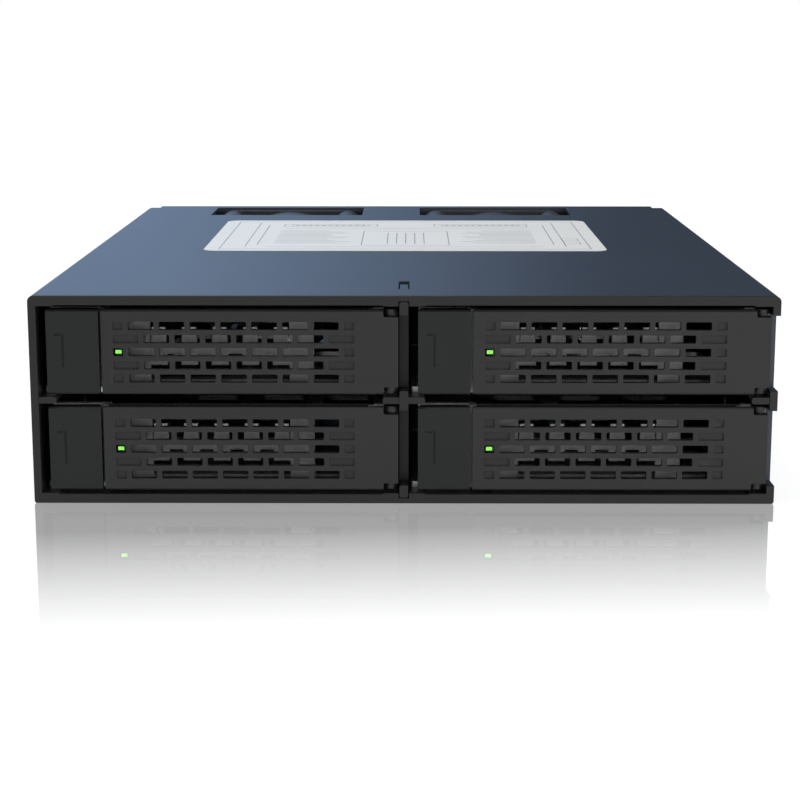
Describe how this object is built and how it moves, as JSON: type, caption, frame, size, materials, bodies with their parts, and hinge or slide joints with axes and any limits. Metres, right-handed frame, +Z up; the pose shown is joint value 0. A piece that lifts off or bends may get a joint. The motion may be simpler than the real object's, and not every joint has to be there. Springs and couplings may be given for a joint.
{
  "type": "hot swap drive cage",
  "caption": "Hot swap cage for small storage drives, with latching trays in a folded steel shell that fits one half-height bay.",
  "frame": {"origin": "centre of the footprint, on the underside of the shell", "axes": "+X to the right as seen from the trays, +Y towards the rear panel, +Z up"},
  "size_m": [0.146, 0.1778, 0.0414],
  "materials": {
    "frame_black": "black powder coat, fine grain, satin",
    "shell_blue_black": "blue-black coated steel, satin sheen",
    "door_black": "black coated metal, matt",
    "carrier_metal": "dark grey cast metal, satin",
    "tray_metal": "zinc-plated sheet steel",
    "label_paper": "white printed film, matt",
    "circuit_board": "green solder mask",
    "connector_black": "black moulded plastic",
    "lamp_green": "clear plastic lit green",
    "bearing_bronze": "sintered bronze",
    "coil_copper": "enamelled copper windings",
    "plug_white": "natural nylon",
    "lead_black": "black insulated lead",
    "screw_black": "black oxide",
    "screw_steel": "bright steel",
    "fan_black": "black glass-filled plastic, satin"
  },
  "bodies": {
    "chassis": {"front_bezel": "frame_black", "top_cover": "shell_blue_black", "bottom_pan": "shell_blue_black", "centre_divider": "frame_black", "side_rail_left": "frame_black", "side_rail_right": "frame_black", "rear_panel": "frame_black", "top_label": "label_paper", "backplane_board": "circuit_board", "drive_connectors": "connector_black", "status_leds": "lamp_green", "board_headers": "connector_black", "data_riser_board": "circuit_board", "data_ports": "connector_black", "power_riser_board": "circuit_board", "power_ports": "connector_black", "speed_switch_body": "connector_black", "fan_bearings": "bearing_bronze", "fan_stators": "coil_copper", "fan_plugs": "plug_white", "fan_leads": "lead_black", "fan_screws": "screw_black", "backplane_screws": "screw_steel", "case_screws": "screw_black", "fan_frame_left": "fan_black", "fan_frame_right": "fan_black"},
    "speed_switch_knob": {"speed_switch_slider": "plug_white"},
    "fan_wheel_left": {"fan_rotor_left": "fan_black", "fan_shaft_left": "screw_steel"},
    "fan_wheel_right": {"fan_rotor_right": "fan_black", "fan_shaft_right": "screw_steel"},
    "tray_upper_left": {"tray_base_upper_left": "tray_metal", "tray_front_upper_left": "carrier_metal", "hinge_pin_upper_left": "screw_steel", "light_pipe_upper_left": "lamp_green", "button_spring_upper_left": "screw_steel"},
    "lever_upper_left": {"lever_upper_left": "door_black"},
    "button_upper_left": {"push_button_upper_left": "door_black"},
    "tray_upper_right": {"tray_base_upper_right": "tray_metal", "tray_front_upper_right": "carrier_metal", "hinge_pin_upper_right": "screw_steel", "light_pipe_upper_right": "lamp_green", "button_spring_upper_right": "screw_steel"},
    "lever_upper_right": {"lever_upper_right": "door_black"},
    "button_upper_right": {"push_button_upper_right": "door_black"},
    "tray_lower_left": {"tray_base_lower_left": "tray_metal", "tray_front_lower_left": "carrier_metal", "hinge_pin_lower_left": "screw_steel", "light_pipe_lower_left": "lamp_green", "button_spring_lower_left": "screw_steel"},
    "lever_lower_left": {"lever_lower_left": "door_black"},
    "button_lower_left": {"push_button_lower_left": "door_black"},
    "tray_lower_right": {"tray_base_lower_right": "tray_metal", "tray_front_lower_right": "carrier_metal", "hinge_pin_lower_right": "screw_steel", "light_pipe_lower_right": "lamp_green", "button_spring_lower_right": "screw_steel"},
    "lever_lower_right": {"lever_lower_right": "door_black"},
    "button_lower_right": {"push_button_lower_right": "door_black"}
  },
  "joints": [
    {"name": "tray_upper_left_slide", "type": "slide", "parent": "chassis", "child": "tray_upper_left", "axis": [0, -1, 0], "range_m": [0, 0.13]},
    {"name": "lever_upper_left_hinge", "type": "hinge", "parent": "tray_upper_left", "child": "lever_upper_left", "pos_m": [-0.00255, -0.0861, 0.0302], "axis": [0, 0, 1], "range_deg": [0, 60]},
    {"name": "button_upper_left_press", "type": "slide", "parent": "tray_upper_left", "child": "button_upper_left", "axis": [0, 1, 0], "range_m": [0, 0.0015], "stiffness_N_per_m": 250, "springref_m": -0.001, "deforming": ["button_spring_upper_left"]},
    {"name": "tray_upper_right_slide", "type": "slide", "parent": "chassis", "child": "tray_upper_right", "axis": [0, -1, 0], "range_m": [0, 0.13]},
    {"name": "lever_upper_right_hinge", "type": "hinge", "parent": "tray_upper_right", "child": "lever_upper_right", "pos_m": [0.0699, -0.0861, 0.0302], "axis": [0, 0, 1], "range_deg": [0, 60]},
    {"name": "button_upper_right_press", "type": "slide", "parent": "tray_upper_right", "child": "button_upper_right", "axis": [0, 1, 0], "range_m": [0, 0.0015], "stiffness_N_per_m": 250, "springref_m": -0.001, "deforming": ["button_spring_upper_right"]},
    {"name": "tray_lower_left_slide", "type": "slide", "parent": "chassis", "child": "tray_lower_left", "axis": [0, -1, 0], "range_m": [0, 0.13]},
    {"name": "lever_lower_left_hinge", "type": "hinge", "parent": "tray_lower_left", "child": "lever_lower_left", "pos_m": [-0.00255, -0.0861, 0.0109], "axis": [0, 0, 1], "range_deg": [0, 60]},
    {"name": "button_lower_left_press", "type": "slide", "parent": "tray_lower_left", "child": "button_lower_left", "axis": [0, 1, 0], "range_m": [0, 0.0015], "stiffness_N_per_m": 250, "springref_m": -0.001, "deforming": ["button_spring_lower_left"]},
    {"name": "tray_lower_right_slide", "type": "slide", "parent": "chassis", "child": "tray_lower_right", "axis": [0, -1, 0], "range_m": [0, 0.13]},
    {"name": "lever_lower_right_hinge", "type": "hinge", "parent": "tray_lower_right", "child": "lever_lower_right", "pos_m": [0.0699, -0.0861, 0.0109], "axis": [0, 0, 1], "range_deg": [0, 60]},
    {"name": "button_lower_right_press", "type": "slide", "parent": "tray_lower_right", "child": "button_lower_right", "axis": [0, 1, 0], "range_m": [0, 0.0015], "stiffness_N_per_m": 250, "springref_m": -0.001, "deforming": ["button_spring_lower_right"]},
    {"name": "fan_wheel_left_spin", "type": "hinge", "parent": "chassis", "child": "fan_wheel_left", "pos_m": [-0.0325, 0.0744, 0.02065], "axis": [0, 1, 0], "continuous": true},
    {"name": "fan_wheel_right_spin", "type": "hinge", "parent": "chassis", "child": "fan_wheel_right", "pos_m": [0.0244, 0.0744, 0.02065], "axis": [0, 1, 0], "continuous": true},
    {"name": "speed_switch_slide", "type": "slide", "parent": "chassis", "child": "speed_switch_knob", "axis": [0, 0, 1], "range_m": [0, 0.002]}
  ]
}
